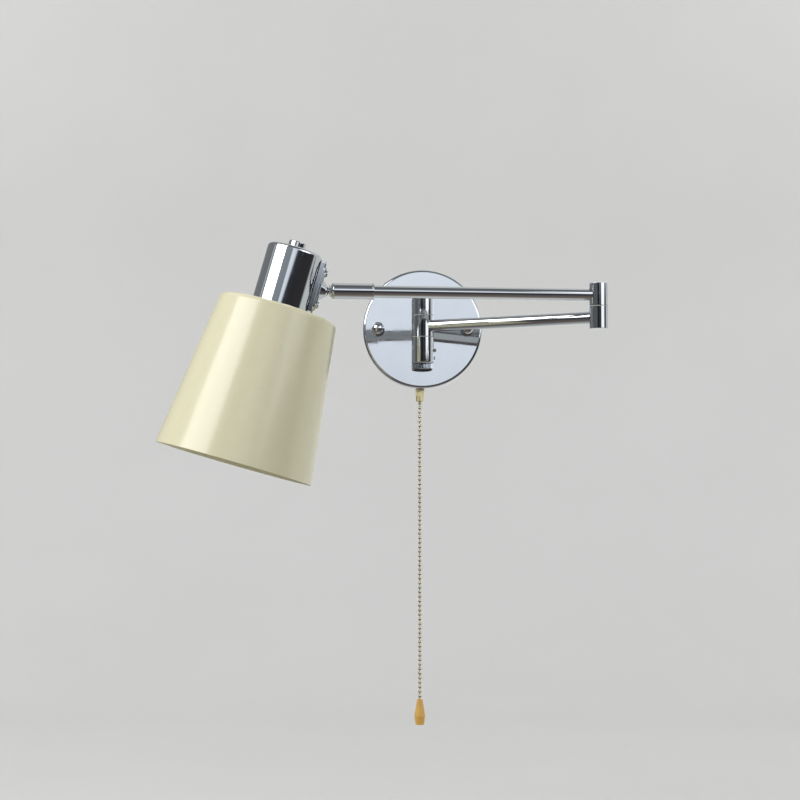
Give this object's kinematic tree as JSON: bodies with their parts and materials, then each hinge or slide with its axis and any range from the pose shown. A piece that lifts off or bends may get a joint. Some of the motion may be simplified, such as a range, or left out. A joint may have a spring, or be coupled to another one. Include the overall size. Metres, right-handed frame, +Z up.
{
  "type": "swing arm wall lamp",
  "caption": "Wall lamp on a folding two-part tube arm, with a round canopy, a conical shade on a swivelling ball joint and a bead-chain pull switch.",
  "frame": {"origin": "centre of the canopy on the wall, in the plane of the wall", "axes": "+Z up, +Y into the wall, +X to the right of someone who faces the wall"},
  "size_m": [0.3822, 0.2558, 0.4264],
  "materials": {
    "chrome": "mirror-polished chrome plate",
    "zinc_steel": "bright zinc-plated steel",
    "spring_steel": "drawn spring wire",
    "brass": "plain turned brass, slightly dulled",
    "gold_chain": "bright brass-plated beads",
    "shade_paint": "cream stove enamel, semi-gloss",
    "knob_wood": "golden lacquered beech",
    "black_resin": "black moulded phenolic resin",
    "white_nylon": "natural white nylon",
    "lead_sleeve": "white flexible insulation",
    "nickel_cap": "nickel-plated screw cap",
    "lamp_base": "white thermoplastic",
    "diffuser": "opal white diffuser"
  },
  "bodies": {
    "wall_base": {"canopy_shell": "chrome", "mounting_crossbar": "zinc_steel", "canopy_studs": "zinc_steel", "ball_nuts": "chrome", "post_stubs": "chrome", "stub_nuts": "zinc_steel", "post_upper_collar": "chrome", "post_lower_collar": "chrome", "post_end_caps": "chrome", "swivel_pins": "zinc_steel", "collar_set_screw": "zinc_steel", "swivel_washers": "white_nylon", "terminal_block": "white_nylon", "terminal_screws": "zinc_steel", "earth_screw": "brass", "switch_case": "black_resin", "switch_cover": "black_resin", "switch_spring": "spring_steel", "switch_nozzle": "brass", "nozzle_nut": "brass", "canopy_leads": "lead_sleeve"},
    "pull_chain": {"switch_plunger": "white_nylon", "bead_chain": "gold_chain", "chain_stop": "gold_chain", "pull_knob": "knob_wood"},
    "lower_arm": {"wall_knuckle": "chrome", "knuckle_bushings": "brass", "lower_arm_tube": "chrome", "elbow_lower_knuckle": "chrome", "elbow_bottom_cap": "chrome", "elbow_pivot": "zinc_steel", "elbow_lock_nut": "zinc_steel", "elbow_washer": "white_nylon", "lower_arm_lead": "lead_sleeve"},
    "upper_arm": {"elbow_upper_knuckle": "chrome", "elbow_top_cap": "chrome", "upper_arm_tube": "chrome", "swivel_collar": "brass", "upper_arm_lead": "lead_sleeve"},
    "head_mount": {"head_sleeve": "chrome", "sleeve_plug": "chrome", "ball_stud": "chrome", "stud_lock_nut": "chrome", "stud_lead": "lead_sleeve"},
    "shade_head": {"joint_saddle": "chrome", "joint_base_plate": "chrome", "joint_clamp_plate": "chrome", "clamp_screws": "chrome", "clamp_nuts": "zinc_steel", "lampholder_cover": "chrome", "cap_screw": "chrome", "lampholder_body": "black_resin", "lampholder_shell": "brass", "lampholder_contact": "brass", "shade_ring": "black_resin", "lamp_shade": "shade_paint", "bulb_cap": "nickel_cap", "bulb_base": "lamp_base", "bulb_diffuser": "diffuser", "head_lead": "lead_sleeve"}
  },
  "joints": [
    {"name": "wall_swing", "type": "hinge", "parent": "wall_base", "child": "lower_arm", "pos_m": [0, -0.058, 0], "axis": [0, 0, -1], "range_deg": [-28, 148]},
    {"name": "elbow_swing", "type": "hinge", "parent": "lower_arm", "child": "upper_arm", "pos_m": [0.14999, -0.146, 0.0096], "axis": [0, 0, 1], "range_deg": [-28, 170]},
    {"name": "head_swivel", "type": "hinge", "parent": "upper_arm", "child": "head_mount", "pos_m": [-0.0866, -0.17841, 0.0192], "axis": [-0.9907, -0.1357, 0], "range_deg": [-170, 170]},
    {"name": "head_tilt", "type": "hinge", "parent": "head_mount", "child": "shade_head", "pos_m": [-0.0866, -0.17841, 0.0192], "axis": [-0.1357, 0.9907, 0], "range_deg": [-50, 18]},
    {"name": "chain_pull", "type": "slide", "parent": "wall_base", "child": "pull_chain", "axis": [0, 0, -1], "range_m": [0, 0.008], "stiffness_N_per_m": 1000, "deforming": ["switch_spring"]}
  ]
}
